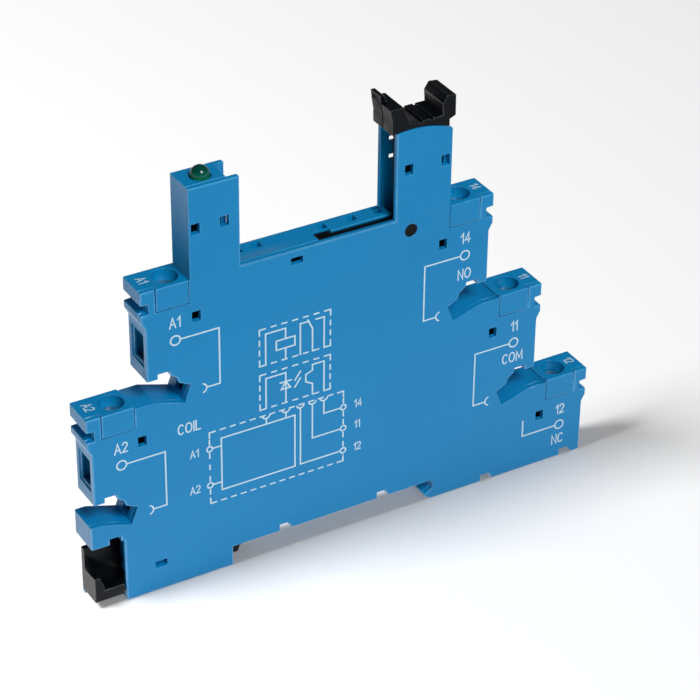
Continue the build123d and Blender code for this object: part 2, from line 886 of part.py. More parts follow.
# two receptacles for the relay's coil pins, standing on the circuit board
for index, pin in enumerate(coil_pins):
    with BuildPart() as receptacle:
        block(
            (pin - leaf_gap - leaf_thick, pin + leaf_gap + leaf_thick),
            (cavity_back - leaf_thick, cavity_back),
            (board_top, leaf_top),
        )
        for leaf in (-1, 1):
            centre = pin + leaf * (leaf_gap + leaf_thick / 2)
            block(
                (centre - leaf_thick / 2, centre + leaf_thick / 2),
                (cavity_back - leaf_depth, cavity_back),
                (board_top, leaf_top),
            )
        block(
            (pin - leaf_gap - leaf_thick, pin + leaf_gap + leaf_thick),
            (board_front - leaf_thick, board_front),
            (board_top - receptacle_foot, board_top + leaf_thick),
        )
    receptacle.part.label = "coil_receptacle_" + str(index + 1)
    export_step(receptacle.part, "parts/coil_receptacle_" + str(index + 1) + ".step")

# circuit board flat against the back wall
with BuildPart() as circuit_board:
    block((board_left, board_right), (board_front, cavity_back), (board_bottom, board_top))
circuit_board.part.label = "circuit_board"
export_step(circuit_board.part, "parts/circuit_board.step")

# status lamp with its two leads
with BuildPart() as status_lamp:
    with Locations((lamp_x, 0, lamp_base + lamp_flange_height / 2)):
        Cylinder(lamp_radius + lamp_flange_lip, lamp_flange_height)
    with Locations((lamp_x, 0, (lamp_base + lamp_centre) / 2)):
        Cylinder(lamp_radius, lamp_centre - lamp_base)
    with Locations((lamp_x, 0, lamp_centre)):
        Sphere(lamp_radius)
status_lamp.part.label = "status_lamp"
export_step(status_lamp.part, "parts/status_lamp.step")

with BuildPart() as lamp_leads:
    for lead in (-1, 1):
        x = lamp_x + lead * lead_pitch / 2
        lead_foot = board_top - lead_drop
        block((x - lead_size / 2, x + lead_size / 2), (-lead_size / 2, lead_size / 2), (lead_foot, lamp_base))
        block(
            (x - lead_size / 2, x + lead_size / 2),
            (-lead_size / 2, board_front),
            (lead_foot, lead_foot + lead_size),
        )
lamp_leads.part.label = "lamp_leads"
export_step(lamp_leads.part, "parts/lamp_leads.step")


# parts on the board's front, placed from its lower corners
def on_board(corner_x, corner_z, size):
    x_range = (corner_x, corner_x + size[0])
    block(x_range, (board_front - size[1], board_front), (corner_z, corner_z + size[2]))


with BuildPart() as bridge_rectifier:
    on_board(board_left + left_row, board_bottom + high_row, rectifier_size)
    chamfer(bridge_rectifier.faces().sort_by(Axis.Y)[0].edges(), length=rectifier_chamfer)
bridge_rectifier.part.label = "bridge_rectifier"
export_step(bridge_rectifier.part, "parts/bridge_rectifier.step")

with BuildPart() as smoothing_capacitor:
    on_board(board_left + left_row, board_bottom + low_row, capacitor_size)
    fillet(smoothing_capacitor.edges().filter_by(Axis.Y), radius=capacitor_round)
smoothing_capacitor.part.label = "smoothing_capacitor"
export_step(smoothing_capacitor.part, "parts/smoothing_capacitor.step")

with BuildPart() as dropper_resistors:
    for row in range(3):
        level = board_bottom + low_row + row * resistor_pitch
        with Locations((board_right - right_row, board_front - resistor_radius, level)):
            Cylinder(resistor_radius, resistor_length, rotation=(0, 90, 0))
dropper_resistors.part.label = "dropper_resistors"
export_step(dropper_resistors.part, "parts/dropper_resistors.step")

with BuildPart() as varistor:
    level = board_bottom + high_row + varistor_rise
    with Locations((board_right - right_row, board_front - varistor_thick / 2, level)):
        Cylinder(varistor_radius, varistor_thick, rotation=(90, 0, 0))
varistor.part.label = "varistor"
export_step(varistor.part, "parts/varistor.step")

# sliding foot that grips the rail's edge, with a screwdriver pocket outside the casing
foot_front = front_y + foot_front_gap
bar_front = cavity_front + foot_side_gap
bar_levels = (-foot_bottom, -foot_bottom + foot_bar)
nose_profile = [
    (-rail_seat_left - nose_thick, bar_levels[1]),
    (-rail_seat_left - nose_thick, -foot_bottom + over),
    (-nose_step - nose_root, -foot_bottom + over),
    (-nose_step - nose_root, -nose_drop),
    (-nose_step - 0.3, -nose_drop),
    (-nose_step + 0.1, -nose_drop + 1.1),
    (-nose_tip, -nose_drop + nose_bevel),
    (-nose_tip, -rail_flange),
    (-rail_seat_left, -rail_flange),
    (-rail_seat_left, bar_levels[1]),
]
boss_profile = [
    (-foot_left, -foot_bottom),
    (-foot_left + boss_width, -foot_bottom),
    (-foot_left + boss_width, boss_shoulder),
    (-foot_left + boss_width / 2, foot_wall_top + boss_rise),
    (-foot_left, foot_wall_top + boss_rise),
]
with BuildPart() as rail_foot:
    # screwdriver pocket: floor, back plate, left wall and its front boss
    block((-foot_left, -base_left + foot_floor_run), (foot_front, foot_back), bar_levels)
    block(
        (-foot_left, -base_left + rim_wall),
        (foot_back - foot_wall, foot_back),
        (-foot_bottom, foot_back_top),
    )
    block((-foot_left, -foot_left + foot_wall), (foot_front, foot_back), (-foot_bottom, foot_wall_top))
    extrude(profile(foot_front + boss_thick, boss_profile), amount=boss_thick)
    # bar inside the channel with the spring's pocket
    block((-base_left - over, -rail_seat_left - bar_end_inset_foot), (bar_front, foot_back), bar_levels)
    block(
        (-pocket_left, -pocket_right),
        (-pocket_width / 2, pocket_width / 2),
        (-foot_bottom - over, bar_levels[1] + over),
        mode=Mode.SUBTRACT,
    )
    extrude(profile(foot_back, nose_profile), amount=nose_thick)
    # step that lets the bar pass behind the cover
    block(
        (-base_left - 2 * over, -base_left + foot_floor_run + over),
        (foot_front - over, bar_front),
        (-foot_bottom - over, bar_levels[1] + over),
        mode=Mode.SUBTRACT,
    )
rail_foot.part.label = "rail_foot"
export_step(rail_foot.part, "parts/rail_foot.step")

# compression spring between the casing's stop and the end of the bar's pocket
spring_start = -pocket_left + stop_gap + stop_width + running_gap + spring_wire / 2
spring_end = -pocket_right - running_gap - spring_wire / 2
spring_z = -foot_bottom + foot_bar / 2
spring_length = spring_end - spring_start
with BuildPart() as foot_spring:
    with BuildLine() as coil:
        Helix(
            pitch=spring_length / spring_turns,
            height=spring_length,
            radius=spring_radius,
            center=(spring_start, 0, spring_z),
            direction=(1, 0, 0),
        )
    with BuildSketch(Plane(origin=coil.line @ 0, z_dir=coil.line % 0)):
        Circle(spring_wire / 2)
    sweep(path=coil.line, is_frenet=True)
foot_spring.part.label = "foot_spring"
export_step(foot_spring.part, "parts/foot_spring.step")
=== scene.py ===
import math

import bmesh
import bpy
from mathutils import Matrix, Vector
from mathutils.geometry import intersect_point_line


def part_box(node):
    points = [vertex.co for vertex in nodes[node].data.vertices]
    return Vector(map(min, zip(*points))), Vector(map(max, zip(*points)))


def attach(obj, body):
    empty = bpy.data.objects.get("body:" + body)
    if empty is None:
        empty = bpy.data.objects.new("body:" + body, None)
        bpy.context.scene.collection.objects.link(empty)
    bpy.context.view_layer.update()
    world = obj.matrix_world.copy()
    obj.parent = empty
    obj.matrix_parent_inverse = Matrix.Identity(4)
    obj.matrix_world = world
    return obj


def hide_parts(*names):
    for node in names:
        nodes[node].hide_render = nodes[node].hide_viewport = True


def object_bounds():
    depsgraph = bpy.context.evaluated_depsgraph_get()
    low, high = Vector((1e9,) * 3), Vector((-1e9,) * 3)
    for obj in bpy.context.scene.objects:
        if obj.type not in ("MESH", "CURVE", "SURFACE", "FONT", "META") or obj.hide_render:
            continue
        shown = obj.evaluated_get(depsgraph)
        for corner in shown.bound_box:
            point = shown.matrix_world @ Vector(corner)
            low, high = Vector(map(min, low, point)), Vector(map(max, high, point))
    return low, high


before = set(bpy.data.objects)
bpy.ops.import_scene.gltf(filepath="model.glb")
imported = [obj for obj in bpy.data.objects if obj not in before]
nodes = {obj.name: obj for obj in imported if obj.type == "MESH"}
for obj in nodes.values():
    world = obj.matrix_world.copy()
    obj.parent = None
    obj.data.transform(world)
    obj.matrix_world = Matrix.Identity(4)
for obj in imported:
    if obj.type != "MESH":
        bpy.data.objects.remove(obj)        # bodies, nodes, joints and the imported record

mm = 0.001
scene = bpy.context.scene
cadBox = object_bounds()
terminals = ["a1", "a2", "14", "11", "12"]
bridged = terminals[:4]  # terminals with a fork for a jumper link
coilSide = ["a1", "a2"]
print("frame loaded:", len(nodes), "nodes")


# small helpers for node trees and meshes

def newMaterial(name, colour, roughness, metallic=0.0):
    material = bpy.data.materials.new(name)
    material.use_nodes = True
    shader = material.node_tree.nodes["Principled BSDF"]
    shader.inputs["Base Color"].default_value = (*colour, 1)
    shader.inputs["Roughness"].default_value = roughness
    shader.inputs["Metallic"].default_value = metallic
    return material


def addNode(tree, kind, inputs=None, **settings):
    # an input is either a fixed value or a socket to link from
    node = tree.nodes.new(kind)
    for key, value in settings.items():
        setattr(node, key, value)
    for key, value in (inputs or {}).items():
        if isinstance(value, bpy.types.NodeSocket):
            tree.links.new(value, node.inputs[key])
        else:
            node.inputs[key].default_value = value
    return node


def objectPoint(tree):
    return addNode(tree, "ShaderNodeTexCoord").outputs["Object"]


def noise(tree, scale, detail=3.0, roughness=0.5, stretch=(1, 1, 1)):
    place = addNode(tree, "ShaderNodeMapping", {"Vector": objectPoint(tree), "Scale": stretch})
    inputs = {"Vector": place.outputs["Vector"], "Scale": scale, "Detail": detail, "Roughness": roughness}
    return addNode(tree, "ShaderNodeTexNoise", inputs).outputs["Fac"]


def ramp(tree, factor, stops):
    node = addNode(tree, "ShaderNodeValToRGB", {"Fac": factor})
    while len(node.color_ramp.elements) < len(stops):
        node.color_ramp.elements.new(0.5)
    for element, (place, colour) in zip(node.color_ramp.elements, stops):
        element.position = place
        element.color = (*colour, 1)
    return node.outputs["Color"]


def spread(tree, value, low, high, fromLow=0.3, fromHigh=0.7):
    # the default range is where most of a noise lies
    inputs = {"Value": value, "From Min": fromLow, "From Max": fromHigh, "To Min": low, "To Max": high}
    return addNode(tree, "ShaderNodeMapRange", inputs).outputs["Result"]


def mixColour(tree, factor, first, second):
    node = addNode(tree, "ShaderNodeMix", {"Factor": factor}, data_type="RGBA")
    for socket, value in ((node.inputs[6], first), (node.inputs[7], second)):
        if isinstance(value, bpy.types.NodeSocket):
            tree.links.new(value, socket)
        else:
            socket.default_value = (*value, 1)
    return node.outputs[2]


def addBump(tree, height, distance, strength):
    inputs = {"Height": height, "Distance": distance, "Strength": strength}
    return addNode(tree, "ShaderNodeBump", inputs).outputs["Normal"]


def shaderOf(material):
    return material.node_tree.nodes["Principled BSDF"]


def plug(material, **sockets):
    names = {"colour": "Base Color", "roughness": "Roughness", "normal": "Normal"}
    for key, value in sockets.items():
        material.node_tree.links.new(value, shaderOf(material).inputs[names[key]])


def meshObject(name, mesh, material=None):
    obj = bpy.data.objects.new(name, mesh)
    scene.collection.objects.link(obj)
    if material:
        mesh.materials.clear()
        mesh.materials.append(material)
    return obj


def settle(obj):
    # the evaluated shape as a plain mesh, with the modifiers gone
    bpy.context.view_layer.update()
    graph = bpy.context.evaluated_depsgraph_get()
    mesh = bpy.data.meshes.new_from_object(obj.evaluated_get(graph), depsgraph=graph)
    obj.modifiers.clear()
    obj.data = mesh
    mesh.name = obj.name
    return obj


def finishPiece(piece, body, slot, *replaced):
    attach(piece, body)
    if replaced:
        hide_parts(*replaced)
    return piece


# finishes

# the edge colours are paler than the face colours: a painted highlight on the rounded edges
casingFinish = {"colour": (0.0, 0.205, 0.465), "deep": (0.0, 0.193, 0.445),
                "edge": (0.03, 0.28, 0.57), "highlightDeep": (0.0, 0.22, 0.49), "grain": 5200, "cloud": 55,
                "rough": (0.30, 0.42), "edgeRough": (0.18, 0.30), "specular": 0.26, "edgeSpecular": 0.7}
blackFinish = {"colour": (0.0015, 0.0025, 0.004), "deep": (0.003, 0.004, 0.006),
               "edge": (0.014, 0.016, 0.019), "highlightDeep": (0.010, 0.011, 0.012), "grain": 3800, "cloud": 160,
               "rough": (0.26, 0.44), "edgeRough": (0.16, 0.30), "specular": 0.1, "edgeSpecular": 0.5}
moulding = {"grainDepth": 0.006 * mm, "grainStrength": 0.35, "edgeVariation": 420}


def makeMoulding(name, look):
    # even flow marks under a fine spark-eroded grain
    material = newMaterial(name, look["colour"], roughness=0.4)
    tree = material.node_tree
    cloud = noise(tree, look["cloud"], detail=4)
    grain = noise(tree, look["grain"], detail=2)
    plug(material, colour=mixColour(tree, spread(tree, cloud, 0, 1), look["colour"], look["deep"]),
         roughness=spread(tree, grain, *look["rough"]),
         normal=addBump(tree, grain, moulding["grainDepth"], moulding["grainStrength"]))
    shaderOf(material).inputs["Specular IOR Level"].default_value = look["specular"]
    return material


def makeHighlightedEdge(name, look):
    # rounded edges, smoother and glossier than the faces, their colour painted a little paler as a highlight
    material = newMaterial(name, look["edge"], roughness=0.3)
    tree = material.node_tree
    edgeVariation = noise(tree, moulding["edgeVariation"], detail=4)
    plug(material, colour=mixColour(tree, spread(tree, edgeVariation, 0, 1), look["edge"], look["highlightDeep"]),
         roughness=spread(tree, edgeVariation, *look["edgeRough"]))
    shaderOf(material).inputs["Specular IOR Level"].default_value = look["edgeSpecular"]
    return material


def makeLampGreen():
    # lit at its foot, darker towards the crown
    look = {"foot": (0.05, 0.42, 0.12), "waist": (0.002, 0.13, 0.075), "crown": (0.0, 0.05, 0.04),
            "waistAt": 0.38, "crownAt": 0.8, "fade": 2.6 * mm, "swirl": 0.06, "swirlScale": 900,
            "roughness": 0.09, "specular": 0.35}
    material = newMaterial("lampGreen", look["waist"], look["roughness"])
    tree = material.node_tree
    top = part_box("status_lamp")[1].z
    height = addNode(tree, "ShaderNodeSeparateXYZ", {"Vector": objectPoint(tree)}).outputs["Z"]
    rise = spread(tree, height, 0, 1, top - look["fade"], top)
    swirl = spread(tree, noise(tree, look["swirlScale"], detail=2), -look["swirl"], look["swirl"])
    level = addNode(tree, "ShaderNodeMath", {0: rise, 1: swirl}, operation="ADD").outputs[0]
    stops = [(0.0, look["foot"]), (look["waistAt"], look["waist"]), (look["crownAt"], look["crown"])]
    plug(material, colour=ramp(tree, level, stops))
    shaderOf(material).inputs["Specular IOR Level"].default_value = look["specular"]
    return material


def makePlate(name, bright, dull, rough, lines):
    # plated metal: drawn or turned lines over uneven plating
    look = {"patchScale": 450, "patchRoughness": 0.6, "lineScale": 2600, "lineDepth": 0.006 * mm,
            "strength": 0.6}
    material = newMaterial(name, bright, roughness=0.3, metallic=1.0)
    tree = material.node_tree
    patch = noise(tree, look["patchScale"], detail=5, roughness=look["patchRoughness"])
    line = noise(tree, look["lineScale"], detail=2, stretch=lines)
    plug(material, colour=mixColour(tree, spread(tree, patch, 0, 1), bright, dull),
         roughness=spread(tree, line, *rough),
         normal=addBump(tree, line, look["lineDepth"], look["strength"]))
    return material


def makeBoardGreen():
    look = {"resist": (0.012, 0.13, 0.05), "track": (0.03, 0.24, 0.10), "roughness": 0.35, "pitch": 0.9 * mm,
            "trackWidth": 0.06, "rowHeight": 0.35, "rowLength": 1.9, "rise": 0.03 * mm, "strength": 0.8}
    material = newMaterial("boardGreen", look["resist"], look["roughness"])
    tree = material.node_tree
    upright = {"Vector": objectPoint(tree), "Rotation": (math.pi / 2, 0, 0)}
    pattern = {"Vector": addNode(tree, "ShaderNodeMapping", upright).outputs["Vector"],
               "Scale": 0.5 / look["pitch"], "Mortar Size": look["trackWidth"],
               "Row Height": look["rowHeight"], "Brick Width": look["rowLength"]}
    tracks = addNode(tree, "ShaderNodeTexBrick", pattern).outputs["Fac"]
    plug(material, colour=mixColour(tree, tracks, look["resist"], look["track"]),
         normal=addBump(tree, tracks, look["rise"], look["strength"]))
    return material


def makeMoulded(name, colour, speck, roughness, scale=2400):
    look = {"smoother": 0.06, "rougher": 0.1, "depth": 0.01 * mm, "strength": 0.5}
    material = newMaterial(name, colour, roughness)
    tree = material.node_tree
    grain = noise(tree, scale, detail=4)
    plug(material, colour=mixColour(tree, spread(tree, grain, 0, 1), colour, speck),
         roughness=spread(tree, grain, roughness - look["smoother"], roughness + look["rougher"]),
         normal=addBump(tree, grain, look["depth"], look["strength"]))
    return material


def makeResistorBody():
    look = {"lacquer": (0.16, 0.30, 0.40), "bandWidth": 0.05, "patchScale": 800, "rough": (0.22, 0.4),
            "bands": [(0.20, (0.35, 0.03, 0.02)), (0.34, (0.02, 0.02, 0.02)),
                      (0.48, (0.5, 0.22, 0.02)), (0.80, (0.45, 0.3, 0.05))]}
    material = newMaterial("resistorBody", look["lacquer"], roughness=0.3)
    tree = material.node_tree
    low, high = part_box("dropper_resistors")
    along = addNode(tree, "ShaderNodeSeparateXYZ", {"Vector": objectPoint(tree)}).outputs["X"]
    share = spread(tree, along, 0, 1, low.x, high.x)
    colour = look["lacquer"]
    for place, band in look["bands"]:
        compared = {0: share, 1: place, 2: look["bandWidth"]}
        inside = addNode(tree, "ShaderNodeMath", compared, operation="COMPARE").outputs[0]
        colour = mixColour(tree, inside, colour, band)
    plug(material, colour=colour, roughness=spread(tree, noise(tree, look["patchScale"]), *look["rough"]))
    return material


def makeInk():
    look = {"colour": (0.55, 0.69, 0.76), "thin": (0.36, 0.56, 0.68), "thinShare": 0.6, "patchScale": 2600,
            "rough": (0.45, 0.65)}
    material = newMaterial("printInk", look["colour"], roughness=0.55)
    tree = material.node_tree
    patch = noise(tree, look["patchScale"], detail=3)
    plug(material, roughness=spread(tree, patch, *look["rough"]),
         colour=mixColour(tree, spread(tree, patch, 0, look["thinShare"]), look["colour"], look["thin"]))
    return material


casingBlue = makeMoulding("casingBlue", casingFinish)
# the edge finishes are painted paler than their faces, as a highlight
casingHighlightEdge = makeHighlightedEdge("casingHighlightEdge", casingFinish)
blackPlastic = makeMoulding("blackPlastic", blackFinish)
blackHighlightEdge = makeHighlightedEdge("blackHighlightEdge", blackFinish)
lampGreen = makeLampGreen()
nickelPlate = makePlate("nickelPlate", (0.70, 0.68, 0.63), (0.50, 0.48, 0.44), (0.2, 0.42), (1, 1, 0.2))
zincPlate = makePlate("zincPlate", (0.62, 0.65, 0.68), (0.42, 0.45, 0.48), (0.25, 0.5), (0.2, 1, 1))
tinnedBronze = makePlate("tinnedBronze", (0.74, 0.70, 0.60), (0.55, 0.46, 0.32), (0.22, 0.45), (1, 1, 0.15))
springSteel = makePlate("springSteel", (0.60, 0.60, 0.60), (0.40, 0.40, 0.41), (0.2, 0.4), (0.2, 1, 1))
tinnedWire = makePlate("tinnedWire", (0.72, 0.72, 0.70), (0.55, 0.55, 0.53), (0.25, 0.4), (1, 1, 0.2))
boardGreen = makeBoardGreen()
moldedBlack = makeMoulded("moldedBlack", (0.018, 0.018, 0.018), (0.04, 0.04, 0.04), 0.5)
resistorBody = makeResistorBody()
filmYellow = makeMoulded("filmYellow", (0.55, 0.36, 0.05), (0.45, 0.28, 0.03), 0.3, 900)
dipBlue = makeMoulded("dipBlue", (0.03, 0.08, 0.36), (0.05, 0.12, 0.45), 0.2, 700)
printInk = makeInk()
print("finishes made")

nodeFinish = {"circuit_board": boardGreen, "bridge_rectifier": moldedBlack, "varistor": dipBlue,
              "dropper_resistors": resistorBody, "smoothing_capacitor": filmYellow, "lamp_leads": tinnedWire,
              "coil_receptacle_1": tinnedBronze, "coil_receptacle_2": tinnedBronze,
              "foot_spring": springSteel}
for terminal in terminals:
    nodeFinish["contact_" + terminal] = tinnedBronze
    nodeFinish["clamp_cage_" + terminal] = zincPlate
for nodeName, finish in nodeFinish.items():
    nodes[nodeName].data.materials.clear()
    nodes[nodeName].data.materials.append(finish)


# moulded pieces: the built solids with their edges rounded off

rounding = {"planeStep": 0.01 * mm, "flatAngle": 1, "straightAngle": 150, "onFace": 0.99, "holeWall": 1.6,
            "probes": (0.1, 0.5, 0.9)}


def planeGroups(edges):
    # sharp edges gathered by the plane they border, each as a joined run with the area beside it
    planes = {}
    for edge in edges:
        for face in edge.link_faces:
            level = round(face.normal.dot(face.verts[0].co) / rounding["planeStep"])
            key = (*(round(part, 2) for part in face.normal), level)
            planes.setdefault(key, {})[edge] = face
    groups = []
    for bordered in planes.values():
        left = set(bordered)
        while left:
            run, reached = [], [left.pop()]
            while reached:
                edge = reached.pop()
                run.append(edge)
                near = {other for vert in edge.verts for other in vert.link_edges if other in left}
                left -= near
                reached += near
            # a run is a hole when the square of its own length is under half of the face it lies in
            area = sum(face.calc_area() for face in {bordered[edge] for edge in run})
            side = sum(edge.calc_length() for edge in run) / 4
            groups.append((bordered, run, side ** 2 < area / 2))
    return groups


def gapBetween(edge, other):
    start, end = (vert.co for vert in other.verts)
    gaps = []
    for share in rounding["probes"]:
        point = edge.verts[0].co.lerp(edge.verts[1].co, share)
        along = intersect_point_line(point, start, end)[1]
        gaps.append((point - start.lerp(end, min(max(along, 0), 1))).length)
    return min(gaps)


def straightOn(edge, near, vert):
    ways = [other.other_vert(vert).co - vert.co for other in (edge, near)]
    return ways[0].angle(ways[1]) > math.radians(rounding["straightAngle"])


def evenOut(radii):
    # near-straight neighbours share one radius, so that their roundings meet without a fold
    waiting = list(radii)
    while waiting:
        edge = waiting.pop()
        for vert in edge.verts:
            for near in vert.link_edges:
                if near is not edge and radii.get(near, 0) > radii[edge] and straightOn(edge, near, vert):
                    radii[near] = radii[edge]
                    waiting.append(near)


def edgeRadii(bm, look):
    # wanted radius of each sharp edge, less where a hole or another edge lies close across the same face
    sharp = [edge for edge in bm.edges
             if len(edge.link_faces) == 2 and edge.calc_face_angle_signed() > math.radians(look["angle"])]
    facing = Vector(look["facing"])
    groups = planeGroups(sharp)
    holes = {edge for bordered, run, isHole in groups if isHole for edge in run}
    radii = {}
    for edge in sharp:
        onFace = any(face.normal.dot(facing) > rounding["onFace"] for face in edge.link_faces)
        shortest = min(near.calc_length() for vert in edge.verts for near in vert.link_edges)
        wanted = look["faceRadius"] if onFace else look["radius"]
        radii[edge] = min(look["holeRadius"] if edge in holes else wanted, shortest * look["share"])
    for bordered, run, isHole in groups:
        for edge in run:
            for other in bordered:
                if radii[edge] <= look["holeRadius"] or set(edge.verts) & set(other.verts):
                    continue
                gap = gapBetween(edge, other)
                wall = rounding["holeWall"] * look["holeRadius"]
                room = gap - wall if other in holes else gap * look["share"]
                radii[edge] = min(radii[edge], max(room, look["least"]))
    evenOut(radii)
    return radii


def roundedCopy(node, name, look, material, highlightEdgeMaterial):
    bm = bmesh.new()
    bm.from_mesh(nodes[node].data)
    bmesh.ops.remove_doubles(bm, verts=bm.verts, dist=look["merge"])
    flat = math.radians(rounding["flatAngle"])
    bmesh.ops.dissolve_limit(bm, angle_limit=flat, verts=bm.verts, edges=bm.edges)
    weights = bm.edges.layers.float.new("bevel_weight_edge")
    for edge, radius in edgeRadii(bm, look).items():
        edge[weights] = radius / look["faceRadius"]
    mesh = bpy.data.meshes.new(name)
    bm.to_mesh(mesh)
    bm.free()
    mesh.shade_smooth()
    mesh.set_sharp_from_angle(angle=math.radians(look["sharp"]))
    piece = meshObject(name, mesh, material)
    # the rounded edges take the second, paler material: a painted highlight
    mesh.materials.append(highlightEdgeMaterial)
    bevel = piece.modifiers.new("edges", "BEVEL")
    bevel.material = 1
    bevel.limit_method = "WEIGHT"
    bevel.width = look["faceRadius"]
    bevel.segments = look["segments"]
    bevel.use_clamp_overlap = False
    bevel.loop_slide = False
    bevel.harden_normals = True
    return settle(piece)


casingLook = {"radius": 0.17 * mm, "faceRadius": 0.26 * mm, "holeRadius": 0.05 * mm, "least": 0.02 * mm,
              "facing": (0, -1, 0), "segments": 3, "angle": 25, "share": 0.45, "sharp": 40,
              "merge": 0.002 * mm}
rearLook = {**casingLook, "facing": (0, 1, 0)}
blackLook = {**casingLook, "facing": (0, 0, 0), "radius": 0.14 * mm, "faceRadius": 0.14 * mm, "segments": 2}
blues, blacks = (casingBlue, casingHighlightEdge), (blackPlastic, blackHighlightEdge)
for node, name, body, slot, look, finishes in (
        ("rear_housing", "rearHousingShell", "casing", "casing_blue", rearLook, blues),
        ("front_cover", "frontCoverShell", "casing", "casing_blue", casingLook, blues),
        ("ejector_lever", "ejectorLeverBody", "lever", "black_plastic", blackLook, blacks),
        ("rail_foot", "railFootBody", "foot", "black_plastic", blackLook, blacks)):
    finishPiece(roundedCopy(node, name, look, *finishes), body, slot, node)
print("mouldings rounded")


# status lamp: a lathed lens with a collar

lampLook = {"radius": 1.6 * mm, "flangeHeight": 1.0 * mm, "steps": 48, "rings": 14, "merge": 0.001 * mm,
            "sharp": 40}


def lathe(name, profile, centre, steps, material):
    bm = bmesh.new()
    ring = [bm.verts.new((radius, 0, height)) for radius, height in profile]
    edges = [bm.edges.new(pair) for pair in zip(ring, ring[1:])]
    bmesh.ops.spin(bm, geom=ring + edges, cent=(0, 0, 0), axis=(0, 0, 1), angle=2 * math.pi, steps=steps)
    bmesh.ops.remove_doubles(bm, verts=bm.verts, dist=lampLook["merge"])
    bmesh.ops.recalc_face_normals(bm, faces=bm.faces)
    mesh = bpy.data.meshes.new(name)
    bm.to_mesh(mesh)
    bm.free()
    mesh.transform(Matrix.Translation(centre))
    mesh.shade_smooth()
    mesh.set_sharp_from_angle(angle=math.radians(lampLook["sharp"]))
    return meshObject(name, mesh, material)


def makeLamp():
    low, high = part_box("status_lamp")
    radius, rim, rings = lampLook["radius"], lampLook["flangeHeight"], lampLook["rings"]
    flange = (high.x - low.x) / 2
    seat = Vector(((low.x + high.x) / 2, (low.y + high.y) / 2, low.z))
    domeLevel = high.z - low.z - radius
    profile = [(0, 0), (flange, 0), (flange, rim), (radius, rim)]
    for step in range(rings + 1):
        turn = step / rings * math.pi / 2
        profile.append((radius * math.cos(turn), domeLevel + radius * math.sin(turn)))
    lens = lathe("lampLens", profile, seat, lampLook["steps"], lampGreen)
    finishPiece(lens, "casing", "lamp_green", "status_lamp")


makeLamp()
print("lamp made")


# clamp screws: one node tree turns the sizes into a headed, threaded screw with a slot

screwLook = {"headHeight": 1.6 * mm, "sharp": 30,
             "slotTurn": {"a1": 20, "a2": -35, "14": 65, "11": 110, "12": 5}}
screwSizes = {"Head Radius": 1.9 * mm, "Head Height": screwLook["headHeight"], "Shank Radius": 1.2 * mm,
              "Shank Length": 4.9 * mm, "Thread Pitch": 0.45 * mm, "Thread Height": 0.10 * mm,
              "Slot Width": 0.55 * mm, "Slot Depth": 0.7 * mm, "Chamfer": 0.22 * mm}
screwCut = {"longer": 2.2, "deeper": 1.02}  # of the head's radius and of the slot's depth, to clear the head


def nodeTree(name, sizes):
    # an empty tree with a geometry output and one named number input for each size
    tree = bpy.data.node_groups.new(name, "GeometryNodeTree")
    tree.is_modifier = True
    tree.interface.new_socket("Geometry", in_out="OUTPUT", socket_type="NodeSocketGeometry")
    tree.interface.new_socket("Geometry", in_out="INPUT", socket_type="NodeSocketGeometry")
    for size, value in sizes.items():
        tree.interface.new_socket(size, in_out="INPUT", socket_type="NodeSocketFloat").default_value = value
    tree.interface.new_socket("Finish", in_out="INPUT", socket_type="NodeSocketMaterial")
    return tree, tree.nodes.new("NodeGroupInput").outputs


def finishTree(tree, geometry, finish):
    real = addNode(tree, "GeometryNodeRealizeInstances", {"Geometry": geometry}).outputs[0]
    painted = addNode(tree, "GeometryNodeSetMaterial", {"Geometry": real, "Material": finish}).outputs[0]
    tree.links.new(painted, tree.nodes.new("NodeGroupOutput").inputs[0])
    return tree


